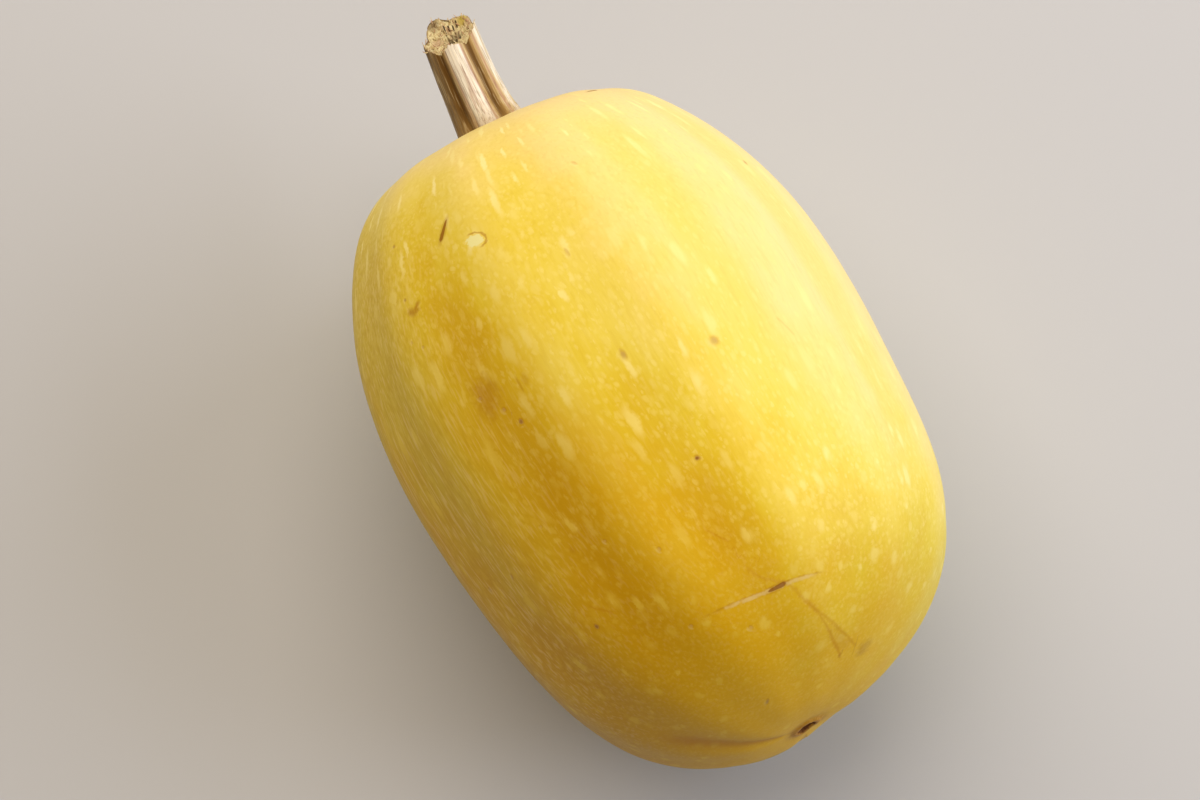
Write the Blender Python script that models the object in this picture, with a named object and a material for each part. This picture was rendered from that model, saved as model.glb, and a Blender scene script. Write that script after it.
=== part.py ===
"""A spaghetti squash lying on its side, as picked: the fruit and its dried stem.

Frame: metres, +Z up. The squash lies along Y with the stem at +Y and the blossom end at -Y, and rests
on z = 0 on its ground spot. The origin is on the floor, under the middle of the whole squash.

The rind is one surface in two angles. phi runs along a rib, from the stem's pole (0) to the blossom's
pole (180 degrees). theta runs round the fruit, from +X (0) over the top (90) to -X (180).
"""

import math

import bmesh
import bpy
from mathutils import Vector

MM = 0.001

# The rind's form. Each line is a short cosine series in phi, in millimetres.
GIRTH_MM = (73.5, 3.5, 6.0, 5.0, 1.0, 2.5)    # half width of a section, over sin(phi)
SWAY_MM = (0.0, -2.1, 0.0, 1.9, -0.5, 0.6)    # how far a section's middle stands off to one side
REACH_MM = (100.5, -4.8, -4.8)                # station along the fruit: cos phi, cos 2 phi, cos 3 phi
END_RISE_MM = 8.0                             # both ends bend up by this much
LEAN = 0.0175                                 # how a section leans about the vertical, at the middle
LEAN_CHANGE = -0.047                          # and how much more towards the stem, less to the blossom

# Ribs: shallow, as wide as the spaces between them, and gone where the fruit lay on the ground.
RIB_COUNT = 12
RIB_CREST_DEG = 110.0
RIB_HEIGHT_MM = 0.6
RIB_FADE_DEG = 38.0

# A soft flat low on the blossom end, where the fruit grew against something.
FLAT_MM = 1.8
FLAT_AT_DEG = (164.0, 300.0)
FLAT_REACH_DEG = (11.0, 34.0)

# The hollow that the stem stands in, and the dimple and corky scar that the blossom left.
STEM_HOLLOW_MM = 3.0
STEM_HOLLOW_REACH_MM = 16.0
DIMPLE_MM = 1.8
DIMPLE_REACH_MM = 11.0
SCAR_RADIUS_MM = 3.4
SCAR_RIM_MM = 0.6
SCAR_RIM_WIDTH_MM = 1.1

# Where the fruit lies.
AXIS_AT_MM = (0.48, -12.67)
AXIS_HEIGHT_MM = 66.7

# Stem: a woody stalk with five rounded ridges, cut off aslant and broken at its rim.
STEM_RIDGES = 5
STEM_CREST_DEG = 93.0
STEM_RADIUS_MM = 9.3
STEM_TAPER_MM = 1.0
STEM_GROOVE = 0.2
STEM_FLARE_MM = 3.4
STEM_FLARE_REACH_MM = 5.0
STEM_LENGTH_MM = 36.5
STEM_SINK_MM = 5.0
STEM_AT_MM = (-2.7, 3.5)
STEM_LEAN = (0.02, 0.14)
STEM_BEND_MM = 1.2
STEM_TWIST_DEG = 9.0
CUT_SLOPE = 0.6
CUT_LOW_DEG = 92.0
CUT_HOLLOW_MM = 2.2
CUT_TEETH = 6
CUT_TOOTH_MM = 0.9
CUT_TOOTH_DEG = 250.0

GAP_MM = 0.3

RIND_STEPS = 96
RIND_RINGS = 38
STEM_STEPS = 60
STEM_RINGS = 16
CUT_RINGS = 5


def cosines(weights, phi, first=0):
    """A cosine series in phi, whose first term is cos(first * phi)."""
    return sum(weight * math.cos((first + k) * phi) for k, weight in enumerate(weights))


def bell(distance, reach):
    """1 at no distance, falling smoothly to nothing past the reach."""
    return math.exp(-(distance / reach) ** 2)


def degrees_apart(a, b):
    """The smaller angle between two directions, in degrees."""
    return abs((a - b + 180.0) % 360.0 - 180.0)


def rib_relief(phi, theta):
    """Height of the ribs above the plain rind, in millimetres."""
    turn = math.degrees(theta)
    wave = math.cos(math.radians(RIB_COUNT * (turn - RIB_CREST_DEG)))
    belly = 1.0 - bell(degrees_apart(turn, 270.0), RIB_FADE_DEG)
    return RIB_HEIGHT_MM * wave * belly * math.sin(phi) ** 0.7


def flat_depth(phi, theta):
    """Depth of the soft flat along the fruit, in millimetres."""
    along = bell(math.degrees(phi) - FLAT_AT_DEG[0], FLAT_REACH_DEG[0])
    around = bell(degrees_apart(math.degrees(theta), FLAT_AT_DEG[1]), FLAT_REACH_DEG[1])
    return FLAT_MM * along * around


def stem_hollow(side, height):
    """Depth of the hollow round the stem, in millimetres, at a place beside the fruit's axis."""
    away = math.hypot(side - STEM_AT_MM[0], height - STEM_AT_MM[1])
    return STEM_HOLLOW_MM * bell(away, STEM_HOLLOW_REACH_MM)


def blossom_relief(radius):
    """Depth of the dimple less the height of the scar's rim, in millimetres."""
    rim = SCAR_RIM_MM * bell(radius - SCAR_RADIUS_MM, SCAR_RIM_WIDTH_MM)
    return DIMPLE_MM * bell(radius, DIMPLE_REACH_MM) - rim


def rind_point(phi, theta, swell=0.0):
    """A point of the rind in metres. swell moves the surface outwards, in millimetres."""
    plain = math.sin(phi) * cosines(GIRTH_MM, phi)
    radius = plain + rib_relief(phi, theta) + swell * math.sin(phi)
    side = radius * math.cos(theta)
    height = radius * math.sin(theta)
    half_length = REACH_MM[0] + REACH_MM[2]
    station = cosines(REACH_MM, phi, first=1)
    bend = station / half_length
    if phi < math.pi / 2:
        station -= stem_hollow(side, height)
    else:
        station += blossom_relief(plain) + flat_depth(phi, theta)
    station += swell * math.cos(phi)
    lean = LEAN + LEAN_CHANGE * math.cos(phi)
    x = side + cosines(SWAY_MM, phi) + AXIS_AT_MM[0]
    y = station + side * lean - height * 2 * END_RISE_MM * bend / half_length + AXIS_AT_MM[1]
    z = height + END_RISE_MM * bend ** 2 + AXIS_HEIGHT_MM
    return Vector((x, y, max(z, 0.0))) * MM


def ring_angles(rings):
    """phi of each ring between the poles, closer together towards both ends."""
    closeness = 0.72
    angles = []
    for index in range(1, rings):
        share = index / rings
        angles.append(math.pi * share - closeness * math.sin(2 * math.pi * share) / 2)
    return angles


def closed_loft(name, rings, start, end):
    """A closed mesh through rings of equal point count, ending in one point at each end."""
    mesh = bmesh.new()
    first = mesh.verts.new(start)
    loops = [[mesh.verts.new(point) for point in ring] for ring in rings]
    last = mesh.verts.new(end)
    count = len(rings[0])
    for i in range(count):
        j = (i + 1) % count
        mesh.faces.new((first, loops[0][i], loops[0][j]))
        mesh.faces.new((last, loops[-1][j], loops[-1][i]))
        for near, far in zip(loops, loops[1:]):
            mesh.faces.new((near[i], far[i], far[j], near[j]))
    bmesh.ops.recalc_face_normals(mesh, faces=mesh.faces)
    data = bpy.data.meshes.new(name)
    mesh.to_mesh(data)
    mesh.free()
    return data


def rind_mesh(name, swell=0.0):
    """The rind as a closed mesh."""
    turns = [2 * math.pi * step / RIND_STEPS for step in range(RIND_STEPS)]
    rings = [[rind_point(phi, theta, swell) for theta in turns] for phi in ring_angles(RIND_RINGS)]
    return closed_loft(name, rings, rind_point(0.0, 0.0, swell), rind_point(math.pi, 0.0, swell))


def stem_radius(along, turn):
    """Radius of the stem in millimetres, along millimetres from its root, at a turn in degrees."""
    crest = abs(math.cos(math.radians(STEM_RIDGES * (turn - STEM_CREST_DEG) / 2)))
    body = STEM_RADIUS_MM - STEM_TAPER_MM * along / STEM_LENGTH_MM
    foot = STEM_FLARE_MM * (0.6 + 0.4 * math.cos(math.radians(turn)))
    flare = foot * math.exp(-max(along - STEM_SINK_MM, 0.0) / STEM_FLARE_REACH_MM)
    return body * (1.0 - STEM_GROOVE * (1.0 - crest)) + flare * (0.45 + 0.55 * crest)


def stem_frame(along):
    """The stem's middle at a distance from its root, and its side and upper directions."""
    share = along / STEM_LENGTH_MM
    forward = Vector((STEM_LEAN[0], 1.0, STEM_LEAN[1])).normalized()
    side = forward.cross(Vector((0.0, 0.0, 1.0))).normalized()
    upper = side.cross(forward)
    seat = rind_point(0.0, 0.0) / MM + Vector((STEM_AT_MM[0], 0.0, STEM_AT_MM[1]))
    root = seat - forward * STEM_SINK_MM
    middle = root + forward * along + side * STEM_BEND_MM * share * share
    return middle, side, upper


def stem_point(along, turn, inward=1.0):
    """A point of the stem in metres. inward is 1 on its skin and 0 on its middle."""
    middle, side, upper = stem_frame(along)
    angle = math.radians(turn + STEM_TWIST_DEG * along / STEM_LENGTH_MM)
    radius = stem_radius(along, turn) * inward
    return (middle + side * radius * math.cos(angle) + upper * radius * math.sin(angle)) * MM


def cut_along(turn, inward):
    """How far from the root the slanting, hollow and ragged cut lies, in millimetres."""
    slant = CUT_SLOPE * STEM_RADIUS_MM * inward * math.cos(math.radians(turn - CUT_LOW_DEG))
    hollow = CUT_HOLLOW_MM * (1.0 - inward ** 2)
    far_side = 0.6 - 0.4 * math.cos(math.radians(turn - CUT_LOW_DEG))
    teeth = CUT_TOOTH_MM * inward * far_side * math.cos(math.radians(CUT_TEETH * (turn - CUT_TOOTH_DEG)))
    return STEM_LENGTH_MM - slant - hollow + teeth


def stem_mesh(name):
    """The stem as a closed mesh, from its root inside the fruit to its cut."""
    turns = [360.0 * step / STEM_STEPS for step in range(STEM_STEPS)]
    rings = []
    for index in range(STEM_RINGS + 1):
        share = (index / STEM_RINGS) ** 1.25
        rings.append([stem_point(share * cut_along(turn, 1.0), turn) for turn in turns])
    for index in range(1, CUT_RINGS):
        inward = 1.0 - index / CUT_RINGS
        rings.append([stem_point(cut_along(turn, inward), turn, inward) for turn in turns])
    root = stem_frame(0.0)[0] * MM
    return closed_loft(name, rings, root, stem_point(cut_along(0.0, 0.0), 0.0, 0.0))


def material(name, colour, roughness):
    """A plain coloured material."""
    made = bpy.data.materials.new(name)
    made.use_nodes = True
    shader = made.node_tree.nodes["Principled BSDF"]
    shader.inputs["Base Color"].default_value = (*colour, 1.0)
    shader.inputs["Roughness"].default_value = roughness
    shader.inputs["Metallic"].default_value = 0.0
    made.diffuse_color = (*colour, 1.0)
    return made


def add_object(name, data, collection, finish=None):
    """Puts a mesh in a collection under its name."""
    made = bpy.data.objects.new(name, data)
    collection.objects.link(made)
    if finish:
        data.materials.append(finish)
        data.shade_smooth()
        data.set_sharp_from_angle(angle=math.radians(50))
    return made


def cut(piece, cutter):
    """Cuts one object with another, which stays in the file as a hidden guide."""
    boolean = piece.modifiers.new("Seat on the rind", "BOOLEAN")
    boolean.operation = "DIFFERENCE"
    boolean.solver = "EXACT"
    boolean.object = cutter
    cutter.hide_render = True
    cutter.display_type = "WIRE"


def new_collection(name):
    """A collection in the scene."""
    made = bpy.data.collections.new(name)
    bpy.context.scene.collection.children.link(made)
    return made


def main():
    """Builds the squash."""
    for old in list(bpy.data.objects):
        bpy.data.objects.remove(old, do_unlink=True)
    parts = new_collection("spaghetti_squash")
    cutters = new_collection("cutters")
    add_object("fruit", rind_mesh("fruit"), parts, material("Rind", (0.82, 0.55, 0.09), 0.42))
    stem = add_object("stem", stem_mesh("stem"), parts, material("Dried stalk", (0.45, 0.31, 0.16), 0.75))
    cut(stem, add_object("rind_clearance", rind_mesh("rind_clearance", GAP_MM), cutters))


main()
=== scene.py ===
"""The looks of a spaghetti squash that lies on its side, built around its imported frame.

Frame: metres, +Z up. The stem points to +Y, the blossom end to -Y, and the fruit rests on z = 0. A place
on the rind has two angles: phi runs along a rib, from the stem (0) to the blossom (180 degrees), and
theta runs round the fruit, from +X (0) over the top (90) to -X (180). Sizes are in millimetres, and the
last step of each mesh turns them into metres.
"""

import ast
import logging
import math
from dataclasses import dataclass, fields
from enum import Enum
from typing import TypeAlias

import bpy
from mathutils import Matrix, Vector


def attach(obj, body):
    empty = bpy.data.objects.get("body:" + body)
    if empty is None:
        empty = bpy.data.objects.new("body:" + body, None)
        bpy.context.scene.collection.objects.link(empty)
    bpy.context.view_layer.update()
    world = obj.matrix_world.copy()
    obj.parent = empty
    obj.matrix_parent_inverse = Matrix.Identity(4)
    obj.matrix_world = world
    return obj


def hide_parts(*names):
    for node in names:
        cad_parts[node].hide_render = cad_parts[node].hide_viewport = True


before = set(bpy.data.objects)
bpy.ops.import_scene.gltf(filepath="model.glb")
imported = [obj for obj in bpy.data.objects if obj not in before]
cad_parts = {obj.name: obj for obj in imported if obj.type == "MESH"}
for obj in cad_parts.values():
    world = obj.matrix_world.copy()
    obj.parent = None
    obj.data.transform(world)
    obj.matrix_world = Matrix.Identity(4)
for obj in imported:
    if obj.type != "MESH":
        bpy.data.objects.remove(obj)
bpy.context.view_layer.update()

LOG = logging.getLogger("squash")
MM = 0.001
BODY = "root"

Value: TypeAlias = bpy.types.NodeSocket | bpy.types.Material | float | int | tuple[float, ...]


def linear(colour: str) -> tuple[float, float, float, float]:
    """Turns an sRGB colour into the linear one that a shader takes.

    Args:
        colour: The colour as a hex value, such as "#E8B52A".

    Returns:
        Red, green, blue and alpha.
    """
    parts = [int(colour[start:start + 2], 16) / 255 for start in (1, 3, 5)]
    red, green, blue = (
        part / 12.92 if part <= 0.04045 else ((part + 0.055) / 1.055) ** 2.4 for part in parts)
    return red, green, blue, 1.0


def sizes_of(piece: object, *angles: str) -> dict[str, Value]:
    """Takes a piece's single numbers as the inputs of a tree.

    Args:
        piece: The piece, a dataclass.
        angles: Which of its numbers are angles, in degrees.

    Returns:
        The numbers by their names, with the angles in radians.
    """
    numbers = {field.name: getattr(piece, field.name) for field in fields(piece)}
    return {name: math.radians(value) if name in angles else value
            for name, value in numbers.items() if isinstance(value, (int, float))}


class Term(Enum):
    """The Math node's operation for each sign or function that a formula may hold, past fade."""

    Add = "ADD"
    Sub = "SUBTRACT"
    Mult = "MULTIPLY"
    Div = "DIVIDE"
    Pow = "POWER"
    Mod = "FLOORED_MODULO"
    Lt = "LESS_THAN"
    sin = "SINE"
    cos = "COSINE"
    exp = "EXPONENT"
    sqrt = "SQRT"
    abs = "ABSOLUTE"
    floor = "FLOOR"
    min = "MINIMUM"
    max = "MAXIMUM"


class Graph:
    """A node tree that is being built, with the values that its formulas know by name."""

    def __init__(self, tree: bpy.types.NodeTree) -> None:
        """Starts with an empty table of names.

        Args:
            tree: The tree to build in.
        """
        self.tree = tree
        self.known: dict[str, Value] = {"pi": math.pi}

    def add(self, kind: str, inputs: dict[str | int, Value] | None = None, output: str | int = 0,
            **settings: object) -> bpy.types.NodeSocket:
        """Adds a node with its settings and links.

        Args:
            kind: The node's type.
            inputs: What goes into its sockets, by their name or number.
            output: Name or number of the output to hand back.
            settings: The node's own settings.

        Returns:
            The output.
        """
        node = self.tree.nodes.new(kind)
        for name, setting in settings.items():
            setattr(node, name, setting)
        self.feed(node, inputs or {})
        return self.find(node.outputs, output)

    def feed(self, node: bpy.types.Node, inputs: dict[str | int, Value]) -> None:
        """Links or sets a node's inputs.

        Args:
            node: The node.
            inputs: What goes into its sockets, by their name or number.
        """
        for name, value in inputs.items():
            socket = self.find(node.inputs, name)
            if isinstance(value, bpy.types.NodeSocket):
                self.tree.links.new(value, socket)
            else:
                socket.default_value = value

    @staticmethod
    def find(sockets: bpy.types.bpy_prop_collection, name: str | int) -> bpy.types.NodeSocket:
        """Finds a socket among those in use.

        Args:
            sockets: A node's inputs or outputs.
            name: The socket's name or number.

        Returns:
            The socket.
        """
        if isinstance(name, int):
            return sockets[name]
        return next(socket for socket in sockets if socket.enabled and socket.name == name)

    def beside(self, socket: bpy.types.NodeSocket, name: str) -> bpy.types.NodeSocket:
        """Another output of the node that an output is on."""
        return self.find(socket.node.outputs, name)

    def formula(self, text: str, **values: Value) -> Value:
        """Adds the nodes of a formula.

        Args:
            text: The formula, such as "radius * cos(theta)", in the signs and functions of Term. In it,
                fade(x, a, b) goes smoothly from 0 at a to 1 at b, and (x, y, z) is a vector.
            values: What its names stand for, past those already known.

        Returns:
            Its result.
        """
        names = {**self.known, **values}

        def build(part: ast.expr) -> Value:
            """Adds the nodes of one part of the formula.

            Args:
                part: The part.

            Returns:
                Its result.
            """
            if isinstance(part, ast.Constant):
                return float(part.value)
            if isinstance(part, ast.Name):
                return names[part.id]
            if isinstance(part, ast.Tuple):
                sign, parts = "vector", part.elts
            elif isinstance(part, ast.UnaryOp):
                sign, parts = "Mult", [part.operand, ast.Constant(-1.0)]
            elif isinstance(part, ast.BinOp):
                sign, parts = type(part.op).__name__, [part.left, part.right]
            elif isinstance(part, ast.Compare):
                sign, parts = type(part.ops[0]).__name__, [part.left, part.comparators[0]]
            else:
                sign, parts = part.func.id, part.args
            inputs = dict(enumerate(build(each) for each in parts))
            if sign == "vector":
                return self.add("ShaderNodeCombineXYZ", inputs)
            if sign == "fade":
                return self.add("ShaderNodeMapRange", inputs, interpolation_type="SMOOTHSTEP")
            return self.add("ShaderNodeMath", inputs, operation=Term[sign].value)

        return build(ast.parse(text).body[0].value)

    def let(self, **formulas: str) -> None:
        """Adds formulas in their order, and knows each result by its name from then on."""
        for name, text in formulas.items():
            self.known[name] = self.formula(text)

    def take_apart(self, name: str, vector: Value) -> None:
        """Knows a vector by a name, and its three numbers as name_x, name_y and name_z.

        Args:
            name: The name.
            vector: The vector.
        """
        self.known[name] = vector
        for axis in "xyz":
            self.known[f"{name}_{axis}"] = self.add("ShaderNodeSeparateXYZ", {0: vector}, axis.upper())

    def scaled(self, vector: Value, grain: tuple[float, float, float]) -> Value:
        """Divides a place by the size of a pattern's grain, in millimetres."""
        shares = tuple(1.0 / size for size in grain)
        return self.add("ShaderNodeVectorMath", {0: vector, 1: shares}, operation="MULTIPLY")

    def lay_noise(self, name: str, vector: Value, grain: tuple[float, float, float], detail: float) -> None:
        """Knows a noise pattern, mostly between 0.3 and 0.7, by a name.

        Args:
            name: The name to know it by.
            vector: The place, in millimetres.
            grain: How large its patches are along each axis, in millimetres.
            detail: How many finer layers it has.
        """
        inputs = {"Vector": self.scaled(vector, grain), "Scale": 1.0, "Detail": detail}
        self.known[name] = self.add("ShaderNodeTexNoise", inputs, noise_dimensions="3D")

    def coat(self, colour: Value, coats: tuple[tuple[str, str], ...]) -> Value:
        """Lays colours over each other.

        Args:
            colour: The colour at the bottom.
            coats: Each coat's colour, as a hex value, and the formula of how much of it covers.

        Returns:
            The colour that shows.
        """
        for shade, cover in coats:
            inputs = {"Factor": self.formula(cover), "A": colour, "B": linear(shade)}
            colour = self.add("ShaderNodeMix", inputs, "Result", data_type="RGBA")
        return colour


class MaterialGraph(Graph):
    """A material's tree."""

    def __init__(self, name: str) -> None:
        """Makes the material, with the plain shader.

        Args:
            name: Its name.
        """
        self.made = bpy.data.materials.new(name)
        self.made.use_nodes = True
        super().__init__(self.made.node_tree)

    def end(self, inputs: dict[str, Value], relief: str = "") -> bpy.types.Material:
        """Sets the shader.

        Args:
            inputs: What goes into its sockets, by their name.
            relief: The formula of a height in millimetres that is too fine for the mesh, if there is one.

        Returns:
            The material.
        """
        if relief:
            bump = {"Strength": 1.0, "Distance": MM, "Height": self.formula(relief)}
            inputs = {**inputs, "Normal": self.add("ShaderNodeBump", bump)}
        self.feed(self.tree.nodes["Principled BSDF"], inputs)
        return self.made


class MeshGraph(Graph):
    """A Geometry Nodes tree, with named inputs for its sizes."""

    SOCKETS = {int: "NodeSocketInt", float: "NodeSocketFloat", bpy.types.Material: "NodeSocketMaterial"}

    def __init__(self, name: str, sizes: dict[str, Value]) -> None:
        """Makes the tree with its inputs, which its formulas know by name.

        Args:
            name: The tree's name.
            sizes: What to set each input to. "material" is the finish.
        """
        super().__init__(bpy.data.node_groups.new(name, "GeometryNodeTree"))
        face = self.tree.interface
        face.new_socket("Mesh", in_out="OUTPUT", socket_type="NodeSocketGeometry")
        self.sizes = {}
        for label, value in sizes.items():
            socket = face.new_socket(label, in_out="INPUT", socket_type=self.SOCKETS[type(value)])
            self.sizes[socket.identifier] = value
        given = self.tree.nodes.new("NodeGroupInput").outputs
        self.known.update({label: given[label] for label in sizes})

    def ball(self) -> Value:
        """Adds a closed ball of steps and rings, and knows each point's share of the way down and its lap.

        Returns:
            The ball, with its UV map.
        """
        sizes = {"Segments": self.known["steps"], "Rings": self.known["rings"]}
        ball = self.add("GeometryNodeMeshUVSphere", sizes, "Mesh")
        self.known["index"] = self.add("GeometryNodeInputIndex")
        self.let(share="(floor((index - 1) / steps) + 1) / rings", lap="((index - 1) % steps) / steps")
        chart = {"Geometry": ball, "Name": "UVMap", "Value": self.beside(ball, "UV Map")}
        return self.add("GeometryNodeStoreNamedAttribute", chart, data_type="FLOAT2", domain="CORNER")

    def keep(self, mesh: Value, *names: str) -> Value:
        """Keeps known values on the mesh's points, as attributes that the finish reads.

        Args:
            mesh: The mesh.
            names: The values' names, and the attributes'.

        Returns:
            The mesh with the attributes.
        """
        for name in names:
            inputs = {"Geometry": mesh, "Name": name, "Value": self.known[name]}
            kind = "FLOAT_VECTOR" if self.known[name].type == "VECTOR" else "FLOAT"
            mesh = self.add("GeometryNodeStoreNamedAttribute", inputs, data_type=kind, domain="POINT")
        return mesh

    def cast(self, piece: str, mesh: Value) -> bpy.types.Object:
        """Ends the tree and turns what it makes into an object with a plain mesh.

        Args:
            piece: The object's name.
            mesh: What the tree makes.

        Returns:
            The object, at the origin.
        """
        real = self.add("GeometryNodeRealizeInstances", {"Geometry": mesh})
        dressed = self.add("GeometryNodeSetMaterial", {"Geometry": real, "Material": self.known["material"]})
        self.tree.links.new(dressed, self.tree.nodes.new("NodeGroupOutput").inputs[0])
        grown = bpy.data.objects.new(piece, bpy.data.meshes.new(piece))
        bpy.context.scene.collection.objects.link(grown)
        modifier = grown.modifiers.new("Growth", "NODES")
        modifier.node_group = self.tree
        for identifier, value in self.sizes.items():
            modifier[identifier] = value
        graph = bpy.context.evaluated_depsgraph_get()
        data = bpy.data.meshes.new_from_object(
            grown.evaluated_get(graph), preserve_all_data_layers=True, depsgraph=graph)
        grown.modifiers.clear()
        bare, grown.data = grown.data, data
        bpy.data.meshes.remove(bare)
        data.name = piece
        data.shade_smooth()
        return grown


class Mark(Enum):
    """The kinds of blemish on the rind, by the attribute that says where they are."""

    PIT = "pits"
    CUT = "cuts"
    SCAB = "scabs"
    CALLUS = "calluses"
    SCUFF = "scuffs"
    CRACK = "cracks"
    STAIN = "stains"
    FOLD = "folds"


# How far from its middle a blemish is known, in half widths. Thin ones wander, so they are known further.
BLEMISH_REACH = 3.2
THIN_REACH = 5.0


@dataclass(frozen=True)
class Blemish:
    """A blemish: the place of its middle in degrees, its length and width, and how strong it is.

    turn is how far its length swings from the rib's line, from the blossom towards higher theta.
    """

    phi: float
    theta: float
    length: float
    width: float
    turn: float = 0.0
    strength: float = 1.0


BLEMISHES: dict[Mark, tuple[Blemish, ...]] = {
    # Small corky pits, where the rind was pricked or rubbed as it grew.
    Mark.PIT: (
        Blemish(53.7, 138.0, 1.0, 0.9, 0.0, 0.75),
        Blemish(65.5, 137.0, 1.0, 0.8, 0.0, 0.75),
        Blemish(74.5, 135.9, 1.0, 0.8, 0.0, 0.65),
        Blemish(72.8, 138.7, 0.9, 0.7, 0.0, 0.5),
        Blemish(95.7, 76.0, 2.6, 2.3, 0.0, 0.7),
        Blemish(109.9, 92.5, 1.5, 1.4, 0.0, 1.0),
        Blemish(91.6, 94.7, 2.8, 1.4, 0.0, 0.72),
        Blemish(73.3, 94.2, 2.4, 0.9, 0.0, 0.5),
        Blemish(57.0, 80.5, 1.6, 0.9, -20.0, 0.5),
        Blemish(92.3, 121.8, 1.7, 1.4, 0.0, 0.85),
        Blemish(108.4, 148.8, 1.7, 0.9, 30.0, 0.7),
        Blemish(107.1, 160.5, 1.4, 1.0, 0.0, 0.65),
        Blemish(113.4, 139.3, 1.1, 0.8, 0.0, 0.45),
        Blemish(122.8, 136.6, 1.5, 1.2, 0.0, 0.85),
        Blemish(132.8, 116.3, 1.1, 1.0, 0.0, 0.6),
        Blemish(139.7, 102.9, 1.3, 1.1, 0.0, 0.55),
        Blemish(119.0, 110.9, 1.2, 1.0, 0.0, 0.6),
        Blemish(113.1, 120.6, 1.1, 0.9, 0.0, 0.55),
        Blemish(157.2, 113.8, 1.8, 1.0, 40.0, 0.75),
        Blemish(105.9, 131.8, 0.9, 0.8, 0.0, 0.5),
        Blemish(86.2, 127.9, 1.2, 1.0, 0.0, 0.7),
        Blemish(89.5, 124.0, 1.4, 1.2, 0.0, 0.7),
        Blemish(68.0, 30.0, 1.6, 1.2, 20.0, 0.7),
        Blemish(112.0, 12.0, 1.3, 1.1, 0.0, 0.6),
        Blemish(96.0, 205.0, 1.8, 1.3, -30.0, 0.7),
        Blemish(131.0, 222.0, 1.4, 1.2, 0.0, 0.6),
    ),
    # Cuts that have dried dark.
    Mark.CUT: (
        Blemish(57.0, 120.2, 7.2, 1.7, 33.8, 0.95),
        Blemish(30.5, 47.4, 4.7, 1.3, -90.0, 0.9),
        Blemish(135.4, 91.0, 5.4, 1.8, -85.4, 0.95),
    ),
    # A dry pale patch with a brown edge towards the stem.
    Mark.SCAB: (
        Blemish(62.9, 112.5, 5.2, 3.8, -58.6),
    ),
    # A long scratch, healed with pale cork.
    Mark.CALLUS: (
        Blemish(134.6, 99.2, 19.0, 1.5, -79.0),
        Blemish(136.2, 84.4, 11.5, 1.4, -76.8),
    ),
    # Scuffs: thin and orange-brown, around and below the scratch.
    Mark.SCUFF: (
        Blemish(130.4, 95.0, 5.4, 1.0, -23.6, 0.5),
        Blemish(134.2, 90.7, 9.0, 1.1, -43.6, 0.6),
        Blemish(138.4, 86.0, 7.0, 1.2, -21.7, 0.6),
        Blemish(142.3, 82.8, 6.6, 1.6, -28.4, 0.9),
        Blemish(147.1, 76.4, 11.2, 1.1, -37.5, 0.7),
        Blemish(152.6, 66.1, 10.2, 1.2, -43.7, 0.7),
        Blemish(97.4, 57.7, 6.8, 0.8, -18.4, 0.35),
        Blemish(122.1, 97.9, 6.4, 0.9, -28.8, 0.6),
        Blemish(121.1, 132.5, 6.4, 1.1, -36.5, 0.6),
    ),
    # A crack that leaves the longest scuff. It is a kind of its own, so that both keep their lines there.
    Mark.CRACK: (
        Blemish(145.8, 79.8, 5.6, 1.0, -20.8, 0.7),
        Blemish(149.6, 76.8, 6.6, 1.2, -21.5, 0.8),
        Blemish(154.1, 71.9, 8.0, 1.4, -27.3, 0.9),
    ),
    # Stains: soft, and brown or olive.
    Mark.STAIN: (
        Blemish(68.3, 135.9, 5.8, 3.4, -53.0, 1.0),
        Blemish(67.6, 133.9, 4.4, 1.9, -120.0, 1.0),
        Blemish(87.4, 115.8, 5.0, 2.6, 0.0, 0.4),
        Blemish(111.2, 128.8, 3.0, 2.0, 0.0, 0.35),
        Blemish(86.5, 126.0, 17.0, 11.0, 10.0, 0.7),
        Blemish(156.5, 53.0, 7.0, 6.0, -35.0, 0.7),
        Blemish(152.0, 71.0, 16.0, 6.0, -35.0, 0.35),
        Blemish(156.0, 69.5, 3.0, 1.4, 20.0, 0.9),
        Blemish(96.0, 196.0, 16.0, 7.0, 15.0, 0.3),
        Blemish(120.0, -10.0, 18.0, 9.0, -20.0, 0.3),
    ),
    # Folds, where the rind gathers towards the blossom scar. The brown drawn along them is painted shade in
    # the crease.
    Mark.FOLD: (
        Blemish(160.3, 156.8, 46.0, 7.0, -4.0),
        Blemish(167.0, 262.0, 18.0, 5.0, 10.0, 0.5),
    ),
}


@dataclass(frozen=True)
class Flecks:
    """A scatter of pale flecks: how far apart, how much longer than wide, and how many and how strong.

    place is the formula of where they are, and fan says whether they are streaks that fan out from the stem.
    """

    cell: float
    stretch: float
    size: float
    share: float
    strength: float
    place: str = "1"
    fan: bool = False


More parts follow.
